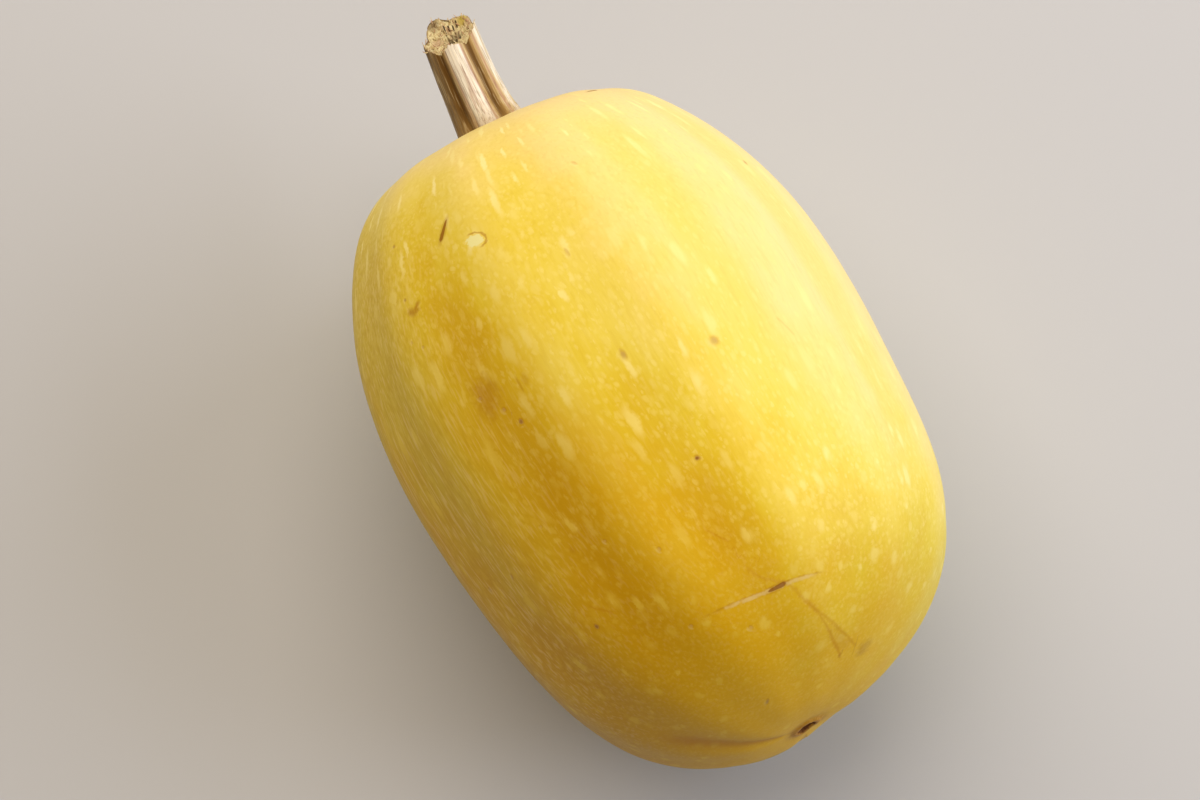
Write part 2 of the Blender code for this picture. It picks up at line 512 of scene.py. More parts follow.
@dataclass(frozen=True)
class SquashSkin:
    """Ripe squash rind, grown smooth and waxy: a soft sheen over golden yellow with pale flecks.

    fan_width is how far from the stem's middle, in millimetres, the fanned streaks have their full width, and
    layer_shift is how far, in cells, each scatter's pattern lies from the one before.
    """

    gold: str = "#E1CF3B"
    deep: str = "#DCAC03"
    ochre: str = "#BA8C00"
    lemon: str = "#EFDA9C"
    cream: str = "#F3EDB6"
    butter: str = "#EDD658"
    olive: str = "#D4BE38"
    umber: str = "#A66A16"
    bark: str = "#875010"
    char: str = "#54290C"
    cork: str = "#DCC488"
    scab: str = "#E8E8AE"
    rust: str = "#B8760C"
    ground: str = "#E3BE74"
    flecks: tuple[Flecks, ...] = (
        Flecks(1.3, 1.8, 0.50, 0.85, 0.18),
        Flecks(2.6, 2.3, 0.42, 0.50, 0.17),
        Flecks(4.6, 2.8, 0.33, 0.66, 0.44, "1 - 0.7 * stemward"),
        Flecks(8.5, 2.8, 0.22, 0.55, 0.46, "1 - stemward"),
        Flecks(2.1, 10.0, 0.35, 1.00, 0.75, "stemward", True),
    )
    fan_width: float = 40.0
    layer_shift: float = 7.3

    def make(self, arc: float) -> bpy.types.Material:
        """Builds the finish.

        Args:
            arc: How many millimetres one radian of phi is in the skin's own coordinates.

        Returns:
            The material. It reads "skin", the rind unrolled in millimetres, and the marks.
        """
        g = MaterialGraph("Waxy squash rind")
        g.known["arc"] = arc
        g.take_apart("skin", g.add("ShaderNodeAttribute", output="Vector", attribute_name="skin"))
        g.known["rib"] = g.add("ShaderNodeAttribute", output="Fac", attribute_name="ribs")
        g.take_apart("spot", g.add("ShaderNodeTexCoord", output="Object"))
        self.lay_patterns(g)
        self.lay_flecks(g)
        self.lay_marks(g)
        return g.end({
            "Base Color": self.colour(g),
            "Roughness": g.formula(
                "0.44 + 0.10 * peel + 0.10 * fleck + 0.35 * max(max(cork, bark), 0.6 * scuff)"),
            "IOR": 1.45,
            # The wax has a dull bloom on it, so its gloss is weaker than clean wax has.
            "Specular IOR Level": 0.34,
        }, "0.030 * peel + 0.012 * streak")

    def lay_patterns(self, g: Graph) -> None:
        """Knows the broad and fine patterns of the skin, and where its ends are.

        Args:
            g: The material's tree.
        """
        for name, grain, detail in (
            ("broad", (38.0, 38.0, 70.0), 2.0),
            ("patch", (9.0, 9.0, 15.0), 3.0),
            # Rows of skin cells: about 0.1 mm wide on a real squash, drawn 0.8 mm wide so that they show.
            ("streak", (0.8, 0.8, 7.0), 2.0),
            # The peel's grain: real pores are near 0.2 mm, drawn at 1.2 mm for the same reason.
            ("peel", (1.2, 1.2, 1.2), 2.0),
            ("ragged", (0.9, 0.9, 0.9), 2.0),
            ("wobble", (2.2, 2.2, 4.0), 1.0),
            ("wander", (5.0, 5.0, 5.0), 2.0),
        ):
            g.lay_noise(name, g.known["skin"], grain, detail)
        g.let(
            away="sqrt(skin_x * skin_x + skin_y * skin_y)",
            stemward="fade(skin_z, 1.30 * arc, 0.85 * arc)",
            # Painted light: lit_side makes this tone paler on the lit +X side, and min(skin_x, 0) makes it
            # deeper on the shaded -X side. The slope from stem to blossom and the noise are the rind's own
            # tone.
            lit_side="max(skin_x, 0) * fade(skin_z, 3.6 * arc, 1.6 * arc)",
            ripe="0.56 * (skin_z / arc - 1.57) - 0.012 * (lit_side + min(skin_x, 0))"
                 " + 0.7 * (broad - 0.5) + 0.5 * (patch - 0.5)",
            blossom="fade(skin_z, 2.7 * arc, 2.9 * arc)",
            flank="fade(spot_x, -0.030, -0.062)",
        )

    def lay_flecks(self, g: Graph) -> None:
        """Knows as "fleck" how much of each point a pale fleck covers.

        Args:
            g: The material's tree.
        """
        bend = g.formula("0.9 * (ragged - 0.5) + 1.8 * (wobble - 0.5)")
        bent = g.add("ShaderNodeVectorMath", {0: g.known["skin"], 1: bend}, operation="ADD")
        # Streaks keep to their own meridian, so they draw together at the stem.
        fanned = g.formula(
            "(fan * skin_x / away + 0.5 * bend, fan * skin_y / away + 0.5 * bend, skin_z + 0.5 * bend)",
            bend=bend, fan=self.fan_width)
        g.known["fleck"] = 0.0
        for index, layer in enumerate(self.flecks):
            grain = (layer.cell, layer.cell, layer.cell * layer.stretch)
            place = g.scaled(fanned if layer.fan else bent, grain)
            inputs = {0: place, 1: (self.layer_shift * index,) * 3}
            shifted = g.add("ShaderNodeVectorMath", inputs, operation="ADD")
            cells = g.add("ShaderNodeTexVoronoi", {"Vector": shifted, "Scale": 1.0})
            g.take_apart("chance", g.beside(cells, "Color"))
            g.known.update(
                away_from=g.beside(cells, "Distance"), size=layer.size, share=layer.share,
                strength=layer.strength)
            g.let(
                reach="size * (0.6 + 0.9 * chance_y)",
                common="share * (0.55 + 0.9 * patch)",
            )
            spot = "strength * fade(away_from, reach, 0.35 * reach) * fade(chance_x, common, 0.9 * common)"
            g.let(fleck=f"max(fleck, {spot} * (0.45 + 0.55 * chance_z) * ({layer.place}))")

    def lay_marks(self, g: Graph) -> None:
        """Knows how much of each point is cork, dark bark, scuff, stain, fold, edge or halo.

        Args:
            g: The material's tree.
        """
        for mark in Mark:
            g.take_apart(mark.value, g.add("ShaderNodeAttribute", output="Vector", attribute_name=mark.value))
            x, y = f"{mark.value}_x", f"{mark.value}_y"
            g.let(**{mark.value: f"sqrt({x} * {x} + {y} * {y})"})
        thin = ("{0}_z * fade(abs({0}_y + 1.2 * (wobble - 0.5)) + 1.2 * fray, 1.3, 0)"
                " * fade(abs({0}_x), 1.2, 0.85)")
        g.let(
            fray="ragged - 0.5",
            sore="pits_z * fade(pits + 0.5 * fray, 1.1, 0.5)",
            pit="pits_z * fade(pits + 0.5 * fray, 1.1, 0.3) * fade(pits_z, 0.55, 0.95)",
            # The ring is heavier on each pit's lower-theta side, towards the window, and the pale halo lies
            # on its higher-theta side. Beside the pit's own corky ring, this is painted shade and painted
            # highlight of the hollow.
            ring="pits_z * fade(pits + 0.6 * fray, 1.8, 0.8)"
                 " * (0.35 + 0.65 * fade(pits_y + 0.5 * pits_x, 0.6, -0.6))",
            pale="fade(pits_z, 0.85, 0.6) * pits_z * fade(pits + 0.5 * fray, 2.4, 1.3)"
                 " * fade(pits_y + 0.5 * pits_x, 0.2, 1.4) * (1 - sore)",
            slit="cuts_z * fade(sqrt(cuts_x ** 4 + (cuts_y * (1.4 - 0.5 * cuts_x)) ** 2) + 0.3 * fray,"
                 " 1.05, 0.70)",
            slit_edge="cuts_z * fade(cuts + 0.4 * fray, 1.6, 1.0)",
            scar="blossom * fade(away + 1.6 * fray, 3.0, 2.3)",
            scar_rim="blossom * fade(away + 2.5 * fray, 8.0, 3.0)",
            bark="max(max(pit, slit), scar)",
            scab="scabs_z * fade(scabs + 0.9 * fray, 1.1, 0.8)",
            scab_edge="scabs_z * fade(abs(scabs - 1.35 + 0.4 * fray), 0.22, 0.05)"
                      " * fade(scabs_x - scabs_y, -0.5, 0.5)",
            tail="scabs_z * fade(abs(scabs_x + 0.30 + 0.4 * fray), 0.5, 0.1) * fade(scabs_y, 3.0, 1.0)"
                 " * fade(scabs_y, 0.2, 0.8)",
            heal="calluses_z * fade(calluses + 0.9 * fray, 1.15, 0.4) * fade(wobble, 0.30, 0.56)",
            heal_edge="calluses_z * fade(abs(calluses - 0.9 + 0.8 * fray), 0.60, 0)"
                      " * (0.2 + 0.8 * fade(calluses_y, 0.2, -0.6))"
                      " * (0.4 + 0.6 * fade(wobble, 0.62, 0.40))",
            cork="max(scab, heal)",
            scuff=f"max({thin.format('scuffs')}, {thin.format('cracks')}) * (0.4 + 1.2 * ragged)",
            stain="stains_z * fade(stains + 1.4 * (wander - 0.5) + 0.6 * fray, 1.1, 0.1)",
            # Painted shade: the fold's colour band stands for the shade in its crease.
            fold="folds_z * fade(abs(folds_x), 1.1, 0.5)"
                 " * (0.6 * fade(abs(folds_y) + 0.3 * fray, 1.2, 0) + 0.4 * fade(abs(folds_y), 0.7, 0.1))",
        )

    def colour(self, g: Graph) -> Value:
        """Lays the skin's colours over each other, from the rind's own gold to the dark of the cuts.

        Args:
            g: The material's tree.

        Returns:
            The colour that shows.
        """
        return g.coat(linear(self.gold), (
            # Lemon: the rind's paler stem end, and a painted highlight over the lit +X side.
            (self.lemon, "0.95 * fade(ripe, 0.27, -0.82)"),
            # Deep gold: the rind's riper blossom end and patches, and painted shade over the -X side turned
            # from the window.
            (self.deep, "0.92 * fade(ripe, -0.15, 0.85)"),
            # Painted shade: ochre darkens the valleys between the ribs.
            (self.ochre, "0.70 * (0.5 - 0.5 * rib) * fade(ripe, -0.2, 0.7)"
                         " * fade(skin_z, 2.6 * arc, 2.1 * arc)"),
            # Painted highlight: lemon on the rib crests, over the pale lit side.
            (self.lemon, "0.10 * fade(rib, 0.1, 1.0) * fade(ripe, 0.8, 0.1)"),
            # Painted shade: gold in the rib valleys across the pale lit side.
            (self.gold, "0.34 * fade(rib, 0.4, -0.9) * fade(ripe, 0.2, -0.3)"
                        " * fade(skin_z, 0.5 * arc, 1.1 * arc)"),
            # Painted shade: ochre over the -X side of the blossom half, the corner turned from the window.
            (self.ochre, "0.50 * fade(spot_x, -0.010, -0.050) * fade(spot_y, 0.020, -0.050)"),
            # Olive on the -X flank: partly the rind's own greener tinge, partly a painted reflection of the
            # sky at the grazing rim.
            (self.olive, "0.80 * flank * fade(ripe, 1.1, 0.4)"),
            (self.lemon, "0.32 * fade(streak, 0.50, 0.68) * (0.25 + 0.75 * flank)"),
            (self.ochre, "0.30 * fade(streak, 0.48, 0.32) * (0.25 + 0.75 * flank)"),
            (self.ground, "0.80 * fade(spot_z + 0.020 * (patch - 0.5), 0.012, 0.002)"),
            (self.butter, "fleck"),
            (self.cream, "fleck * fade(ripe, 0.8, -0.1)"),
            # The fold's share of these two coats is painted shade in the crease; the stains and scuffs are
            # the rind's own.
            (self.umber, "0.60 * stain + 0.22 * fold"),
            (self.rust, "0.45 * scuff + 0.45 * fold"),
            # The pits' rings here carry painted shade on their window side.
            (self.umber, "0.60 * ring + 0.30 * slit_edge + 0.75 * scar_rim"),
            # The pits' pale halo here is a painted highlight on their far wall; the scab's tail is its own
            # cream.
            (self.cream, "max(0.35 * pale, 0.45 * tail)"),
            (self.cork, "0.45 * sore"),
            (self.scab, "0.90 * scab"),
            (self.cork, "0.66 * heal"),
            (self.umber, "max(0.55 * scab_edge, 0.38 * heal_edge)"),
            (self.bark, "0.85 * bark"),
            (self.char, "0.80 * scar + 0.10 * pit"),
        ))


@dataclass
class Rind:
    """The fruit's rind: one closed surface in phi and theta. Lengths are in millimetres."""

    girth: tuple[float, ...] = (73.5, 3.5, 6.0, 5.0, 1.0, 2.5)
    sway: tuple[float, ...] = (0.0, -2.1, 0.0, 1.9, -0.5, 0.6)
    reach: tuple[float, ...] = (0.0, 100.5, -4.8, -4.8)
    end_rise: float = 8.0
    lean: float = 0.0175
    lean_change: float = -0.047
    rib_count: int = 12
    rib_crest: float = 110.0
    rib_height: float = 0.6
    rib_fade: float = 38.0
    flat: float = 1.8
    flat_phi: float = 164.0
    flat_theta: float = 300.0
    flat_reach_phi: float = 11.0
    flat_reach_theta: float = 34.0
    stem_hollow: float = 3.0
    stem_hollow_reach: float = 16.0
    stem_x: float = -2.7
    stem_z: float = 3.5
    dimple: float = 1.8
    dimple_reach: float = 11.0
    scar_radius: float = 3.4
    scar_rim: float = 0.6
    scar_rim_width: float = 1.1
    scar_depth: float = 0.9
    axis_x: float = 0.48
    axis_y: float = -12.67
    axis_height: float = 66.7
    unevenness: float = 0.35
    fold_depth: float = 0.7
    arc: float = 96.0
    steps: int = 320
    rings: int = 310
    closeness: float = 0.6

    def series(self, weights: tuple[float, ...], phi: float) -> float:
        """A cosine series in phi."""
        return sum(weight * math.cos(k * phi) for k, weight in enumerate(weights))

    def stem_root(self) -> Vector:
        """Works out where the stem stands.

        Returns:
            The middle of its hollow, in millimetres.
        """
        station = sum(self.reach)
        bend = station / (self.reach[1] + self.reach[3])
        off = math.hypot(self.stem_x, self.stem_z) / self.stem_hollow_reach
        hollow = self.stem_hollow * math.exp(-off ** 2)
        return Vector((
            sum(self.sway) + self.axis_x + self.stem_x,
            station - hollow + self.axis_y,
            self.end_rise * bend ** 2 + self.axis_height + self.stem_z,
        ))

    def rows(self, blemish: Blemish) -> tuple[tuple[float, float, float], ...]:
        """Works out a blemish's own axes.

        Args:
            blemish: The blemish.

        Returns:
            Two rows. Each one's dot product with (phi, theta, 1) is a point's distance from the middle,
            along the blemish or across it, where 1 is its edge.
        """
        phi, theta, turn = (math.radians(angle) for angle in (blemish.phi, blemish.theta, blemish.turn))
        step = 0.01
        width, length = (
            [self.series(weights, phi + side) * factor(phi + side) for side in (-step, step)]
            for weights, factor in ((self.girth, math.sin), (self.reach, lambda angle: 1.0)))
        per_phi = math.hypot(width[1] - width[0], length[1] - length[0]) / (2 * step)
        per_theta = sum(width) / 2
        rows = []
        for size, along, across in ((blemish.length, math.cos(turn), math.sin(turn)),
                                    (blemish.width, -math.sin(turn), math.cos(turn))):
            first, second = 2 * along * per_phi / size, 2 * across * per_theta / size
            rows.append((first, second, -first * phi - second * theta))
        return tuple(rows)

    def grow(self, finish: bpy.types.Material) -> bpy.types.Object:
        """Builds the rind.

        Args:
            finish: The skin's material.

        Returns:
            The rind as one closed mesh.
        """
        g = MeshGraph("Rind", {
            **sizes_of(self, "rib_crest", "rib_fade", "flat_phi", "flat_theta", "flat_reach_phi",
                       "flat_reach_theta"),
            **{f"{name}_{k}": weight for name in ("girth", "sway", "reach")
               for k, weight in enumerate(getattr(self, name))},
            "material": finish,
        })
        mesh = g.ball()
        self.measure(g)
        mesh = g.keep(mesh, "skin", "ribs")
        place = g.formula("(phi, theta, 1)")
        for mark in Mark:
            g.take_apart(mark.value, self.nearest(g, mark, place))
            mesh = g.keep(mesh, mark.value)
        mesh = g.add("GeometryNodeSetPosition", {"Geometry": mesh, "Position": self.position(g)})
        return g.cast("rind", g.add("GeometryNodeFlipFaces", {"Mesh": mesh}))

    def measure(self, g: MeshGraph) -> None:
        """Knows each point's phi and theta, the plain girth and reach there, and the ribs.

        Args:
            g: The rind's tree.
        """
        g.let(
            phi="pi * share - closeness * sin(2 * pi * share) / 2",
            theta="pi * (2 * lap - 0.5)",
        )
        for name in ("girth", "sway", "reach"):
            terms = range(len(getattr(self, name)))
            g.let(**{name: " + ".join(f"{name}_{k} * cos({k} * phi)" for k in terms)})
        g.let(plain="sin(phi) * girth", skin="(plain * cos(theta), plain * sin(theta), arc * phi)")
        for name, towards in (("from_ground", "1.5 * pi"), ("from_flat", "flat_theta")):
            g.let(**{name: f"abs((theta - {towards} + pi) % (2 * pi) - pi)"})
        g.let(ribs="cos(rib_count * (theta - rib_crest)) * (1 - exp(-(from_ground / rib_fade) ** 2))"
                   " * sin(phi) ** 0.7")

    def nearest(self, g: MeshGraph, mark: Mark, place: Value) -> Value:
        """Lays out the blemishes of one kind.

        Args:
            g: The rind's tree.
            mark: The kind.
            place: Each point's phi and theta, and 1.

        Returns:
            For each point, how far it is along and across the nearest one, and how strong that one is.
            The strength is 0 far from all of them, because there the first two jump.
        """
        spot, gap = None, None
        for blemish in BLEMISHES[mark]:
            axes = {
                name: g.add("ShaderNodeVectorMath", {0: place, 1: row}, "Value", operation="DOT_PRODUCT")
                for name, row in zip(("along", "across"), self.rows(blemish))}
            here = g.formula("(along, across, strength)", strength=blemish.strength, **axes)
            far = g.formula("sqrt(along * along + across * across)", **axes)
            if spot is None:
                spot, gap = here, far
                continue
            closer = g.formula("far < gap", far=far, gap=gap)
            choice = {"Factor": closer, "A": spot, "B": here}
            spot = g.add("ShaderNodeMix", choice, "Result", data_type="VECTOR")
            gap = g.formula("min(far, gap)", far=far, gap=gap)
        limit = THIN_REACH if mark in (Mark.SCUFF, Mark.CRACK) else BLEMISH_REACH
        near = g.formula("(1, 1, fade(gap, limit + 0.5, limit))", gap=gap, limit=limit)
        return g.add("ShaderNodeVectorMath", {0: spot, 1: near}, operation="MULTIPLY")

    def position(self, g: MeshGraph) -> Value:
        """Works out where each point of the rind lies.

        Args:
            g: The rind's tree, which knows its measures.

        Returns:
            The place, in metres.
        """
        g.lay_noise("swells", g.known["skin"], (22.0, 22.0, 30.0), 2.0)
        g.lay_noise("crumbs", g.known["skin"], (1.3, 1.3, 1.3), 2.0)
        g.let(
            stem_end="fade(phi, 1.8, 1.3)",
            fold="folds_z * exp(-(folds_y ** 2)) * fade(abs(folds_x), 1.0, 0.4)",
            swell="2 * unevenness * (swells - 0.5) - fold_depth * fold",
            radius="plain + rib_height * ribs + swell * sin(phi)",
            side="radius * cos(theta)",
            height="radius * sin(theta)",
            hollow="stem_hollow * exp(-((side - stem_x) ** 2 + (height - stem_z) ** 2)"
                   " / stem_hollow_reach ** 2)",
            rim="scar_rim * exp(-((plain - scar_radius + 1.5 * (crumbs - 0.5)) / scar_rim_width) ** 2)",
            pit="scar_depth * fade(plain + 1.5 * (crumbs - 0.5), 3.0, 1.8) * (1.6 - 1.6 * crumbs)",
            dent="dimple * exp(-(plain / dimple_reach) ** 2) - rim + pit",
            pressed="flat * exp(-((phi - flat_phi) / flat_reach_phi) ** 2)"
                    " * exp(-(from_flat / flat_reach_theta) ** 2)",
            half="reach_1 + reach_3",
            bend="reach / half",
            station="reach - stem_end * hollow + (1 - stem_end) * (dent + pressed) + swell * cos(phi)",
            slope="lean + lean_change * cos(phi)",
        )
        place = g.formula(
            "(side + sway + axis_x,"
            " station + side * slope - height * 2 * end_rise * bend / half + axis_y,"
            " max(height + end_rise * bend ** 2 + axis_height, 0))")
        return g.add("ShaderNodeVectorMath", {0: place, "Scale": MM}, operation="SCALE")


@dataclass(frozen=True)
class DriedStalk:
    """Dried squash stalk, woody and weathered: matt, straw-pale on the ridges and brown in the grooves."""

    straw: str = "#D6C8A4"
    chalk: str = "#EDE9E6"
    rose: str = "#B08A78"
    tan: str = "#A4854E"
    moss: str = "#857A40"
    umber: str = "#5E4018"
    crumb: str = "#DDD3AC"
    dark: str = "#33220F"
    green: str = "#B9A53C"

    def make(self) -> bpy.types.Material:
        """Builds the finish.

        Returns:
            The material. It reads "grain", the stalk unrolled in millimetres, "parts" and "seam".
        """
        g = MaterialGraph("Dried squash stalk")
        for name in ("grain", "parts"):
            g.take_apart(name, g.add("ShaderNodeAttribute", output="Vector", attribute_name=name))
        g.known["seam"] = g.add("ShaderNodeAttribute", output="Fac", attribute_name="seam")
        g.let(crest="parts_x", face="parts_y", inward="parts_z")
        for name, size, detail in (
            # Fibres: about 0.1 mm on a real stalk, drawn 0.35 mm wide so that they show.
            ("fibre", (0.35, 0.35, 16.0), 2.0),
            ("strand", (0.9, 0.9, 30.0), 2.0),
            ("blotch", (3.0, 3.0, 9.0), 3.0),
            ("crumbs", (0.8, 0.8, 0.8), 3.0),
        ):
            g.lay_noise(name, g.known["grain"], size, detail)
        g.let(
            cut="fade(inward, 0.99, 0.93)",
            pith="fade(sqrt((grain_x - 0.5) ** 2 + (grain_y + 1.6) ** 2) + 2.4 * (crumbs - 0.5),"
                 " 3.4, 1.8)",
            slots="fade(cos(5.0 * grain_x), 0.0, 0.7) * fade(abs(grain_y + 5.6), 0.8, 0.4)"
                  " * fade(abs(grain_x - 0.6), 2.4, 1.9)",
        )
        colour = g.coat(linear(self.tan), (
            (self.straw, "0.80 * fade(crest + 0.5 * (blotch - 0.5), 0.30, 0.90)"),
            # Painted highlight: chalk white on the ridges of the faces turned to the light.
            (self.chalk, "0.90 * fade(face, 0.80, 0.97) * fade(crest + 0.6 * (strand - 0.5), 0.45, 0.85)"),
            # Painted shade over the stalk's blotches: the moss-dark coat lies only on the faces turned from
            # the light.
            (self.moss, "0.70 * fade(face, 0.55, 0.15) * fade(blotch, 0.36, 0.60)"),
            # Painted highlight: chalk on the ridges facing +X, towards the window.
            (self.chalk, "0.75 * fade(grain_x, 6.0, 7.4) * fade(crest, 0.35, 0.80)"
                         " * fade(strand, 0.35, 0.55)"),
            # Painted shade: umber blotches over the -X side, away from the window.
            (self.umber, "0.80 * fade(grain_x, -2.0, -5.0) * fade(blotch, 0.18, 0.50)"),
            # The stalk's rose tint, laid only on the faces turned to the light: partly painted highlight.
            (self.rose, "0.50 * fade(strand, 0.52, 0.64) * fade(face, 0.75, 0.97)"),
            (self.umber, "0.90 * fade(crest + 0.35 * (strand - 0.5), 0.50, 0.12)"),
            # The rose along the seams, the stalk's own tint, is kept off the -X side, which is left in
            # painted shade.
            (self.rose, "0.75 * fade(seam + 0.3 * (strand - 0.5), 0.30, 0.05) * fade(crest, 0.2, 0.5)"
                        " * fade(grain_x, -5.0, -2.0)"),
            (self.umber, "0.45 * fade(fibre, 0.46, 0.34)"),
            (self.straw, "0.35 * fade(fibre, 0.56, 0.68)"),
            (self.tan, "0.50 * fade(grain_z, 14.0, 5.0)"),
            (self.crumb, "0.95 * cut"),
            (self.tan, "0.65 * cut * fade(crumbs, 0.52, 0.38)"),
            (self.rose, "0.55 * cut * fade(blotch, 0.50, 0.62)"),
            (self.green, "0.80 * cut * fade(sqrt((grain_x - 5.2) ** 2 + (grain_y + 6.4) ** 2), 3.2, 1.4)"),
            (self.umber, "0.80 * cut * fade(sqrt((grain_x + 4.6) ** 2 + (grain_y + 7.0) ** 2), 3.0, 1.2)"),
            (self.dark, "0.85 * cut * max(fade(crumbs, 0.37, 0.28), pith)"),
            (self.dark, "0.95 * cut * slots"),
        ))
        roughness = g.formula("0.78 - 0.22 * crest * (1 - cut)")
        relief = "0.10 * fibre + 0.20 * strand + 0.30 * cut * crumbs"
        return g.end({"Base Color": colour, "Roughness": roughness}, relief)


@dataclass
class Stalk:
    """The stem: a woody stalk with five ridges, sunk into the rind and cut aslant. Lengths in millimetres."""

    ridges: int = 5
    ridge_crest: float = 93.0
    radius: float = 9.3
    taper: float = 1.0
    groove: float = 0.2
    flare: float = 3.4
    flare_reach: float = 5.0
    length: float = 36.5
    sink: float = 5.0
    lean: tuple[float, float] = (0.02, 0.14)
    bend: float = 1.2
    twist: float = 9.0
    cut_slope: float = 0.6
    cut_low: float = 92.0
    cut_hollow: float = 2.2
    tooth: float = 1.5
    torn: float = 2.4
    torn_at: float = 237.0
    seam_depth: float = 0.35
    lit_face: float = 86.0
    steps: int = 240
    rings: int = 190
    skin_share: float = 0.72

    def tree(self, name: str, root: Vector, finish: bpy.types.Material, **more: Value) -> MeshGraph:
        """Starts a tree that knows the stalk's sizes and axes.

        Args:
            name: The tree's name.
            root: Where the stem stands, in millimetres.
            finish: The material.
            more: Further sizes.

        Returns:
            The tree.
        """
        forward = Vector((self.lean[0], 1.0, self.lean[1])).normalized()
        side = forward.cross(Vector((0.0, 0.0, 1.0))).normalized()
        start = root - forward * self.sink
        g = MeshGraph(name, {
            **sizes_of(self, "ridge_crest", "twist", "cut_low", "torn_at", "lit_face"),
            **more,
            "material": finish,
        })
        upper = side.cross(forward)
        for label, line in (("start", start), ("forward", forward), ("side", side), ("upper", upper)):
            g.known.update({f"{label}_{axis}": value for axis, value in zip("xyz", line)})
        return g

    def grow(self, root: Vector, finish: bpy.types.Material) -> bpy.types.Object:
        """Builds the stalk.

        Args:
            root: Where the stem stands, in millimetres.
            finish: The stalk's material.

        Returns:
            The stalk as one closed mesh.
        """
        g = self.tree("Stalk", root, finish)
        mesh = g.ball()
        g.let(
            turn="2 * pi * lap",
            capped="max(share - skin_share, 0) / (1 - skin_share)",
            on_skin="1 - capped",
            inward="min(share * rings, 1) * on_skin",
        )
        self.measure(g)
        g.let(parts="(crest, cos(turn - lit_face), on_skin)")
        mesh = g.keep(mesh, "grain", "parts", "seam")
        mesh = g.add("GeometryNodeSetPosition", {"Geometry": mesh, "Position": self.position(g)})
        return g.cast("stalk", mesh)

    def measure(self, g: MeshGraph) -> None:
        """Knows how far along the stalk each point lies, and its girth, from its turn and how far in it is.

        Args:
            g: A tree that knows the stalk's sizes.
        """
        g.let(
            low="cos(turn - cut_low)",
            crest="abs(cos(ridges * (turn - ridge_crest) / 2))",
            seam="abs(cos(ridges * (turn - ridge_crest)))",
            teeth="tooth * (1 + 0.3 * low) * (crest - 0.6)"
                  " + torn * exp(-5 * (1 - cos(turn - torn_at)))",
            cut_at="length - cut_slope * radius * inward * low - cut_hollow * (1 - inward ** 2)"
                   " + teeth * inward ** 2",
            skin_end="length - cut_slope * radius * low + teeth",
            body="min(share / skin_share, 1) * skin_end",
            on_cut="fade(capped, 0, 0.02)",
            along="body + on_cut * (cut_at - skin_end)",
            foot="flare * (0.6 + 0.4 * cos(turn)) * exp(-max(along - sink, 0) / flare_reach)",
            line="seam_depth * exp(-(seam / 0.22) ** 2)",
            cleft="groove * (0.75 + 0.25 * low) * (1 - crest)",
            girth="(radius - taper * along / length) * (1 - cleft) + foot * (0.45 + 0.55 * crest)"
                  " - line",
            grain="(girth * inward * cos(turn), girth * inward * sin(turn), along)",
        )
        g.lay_noise("strand", g.known["grain"], (1.6, 1.6, 40.0), 2.0)
        g.lay_noise("crumbs", g.known["grain"], (1.4, 1.4, 1.4), 3.0)

    def position(self, g: MeshGraph) -> Value:
        """Works out where each point of the stalk lies.

        Args:
            g: The tree, which knows the stalk's measures.

        Returns:
            The place, in metres.
        """
        g.let(strands="0.9 * (strand - 0.5) * fade(share, 0.02, 0.1)")
        g.lay_noise("grit", g.known["grain"], (0.7, 0.7, 0.7), 2.0)
        g.let(
            wide="(girth + strands + on_cut * 0.8 * (crumbs - 0.5)) * inward",
            across="wide * cos(turn)",
            over="wide * sin(turn)",
            ragged="on_cut * (3.2 * (crumbs - 0.5) + 1.6 * (grit - 0.5)"
                   " - 2.6 * exp(-(across ** 2 + (over + 2.2) ** 2) / 8))",
            far="along + ragged",
            angle="turn + twist * far / length",
            off="bend * (far / length) ** 2 + wide * cos(angle)",
        )
        place = ", ".join(
            f"start_{axis} + forward_{axis} * far + side_{axis} * off + upper_{axis} * wide * sin(angle)"
            for axis in "xyz")
        return g.add("ShaderNodeVectorMath", {0: g.formula(f"({place})"), "Scale": MM}, operation="SCALE")


@dataclass(frozen=True)
class TornFibre:
    """Torn stalk fibre, dry and matt: thin pale threads, some of them pinkish brown."""

    straw: str = "#D9C8A0"
    rose: str = "#B4866E"
    umber: str = "#76552C"

    def make(self) -> bpy.types.Material:
        """Builds the finish.

        Returns:
            The material. It reads the object's own coordinates.
        """
        g = MaterialGraph("Torn stalk fibre")
        # Patches of 1.4 mm, a few fibres wide, as fibres tear in tufts.
        g.lay_noise("tuft", g.add("ShaderNodeTexCoord", output="Object"), (1.4 * MM,) * 3, 1.0)
        colour = g.coat(linear(self.straw), (
            (self.rose, "0.90 * fade(tuft, 0.44, 0.58)"),
            (self.umber, "0.80 * fade(tuft, 0.40, 0.30)"),
        ))
        return g.end({"Base Color": colour, "Roughness": 0.8})


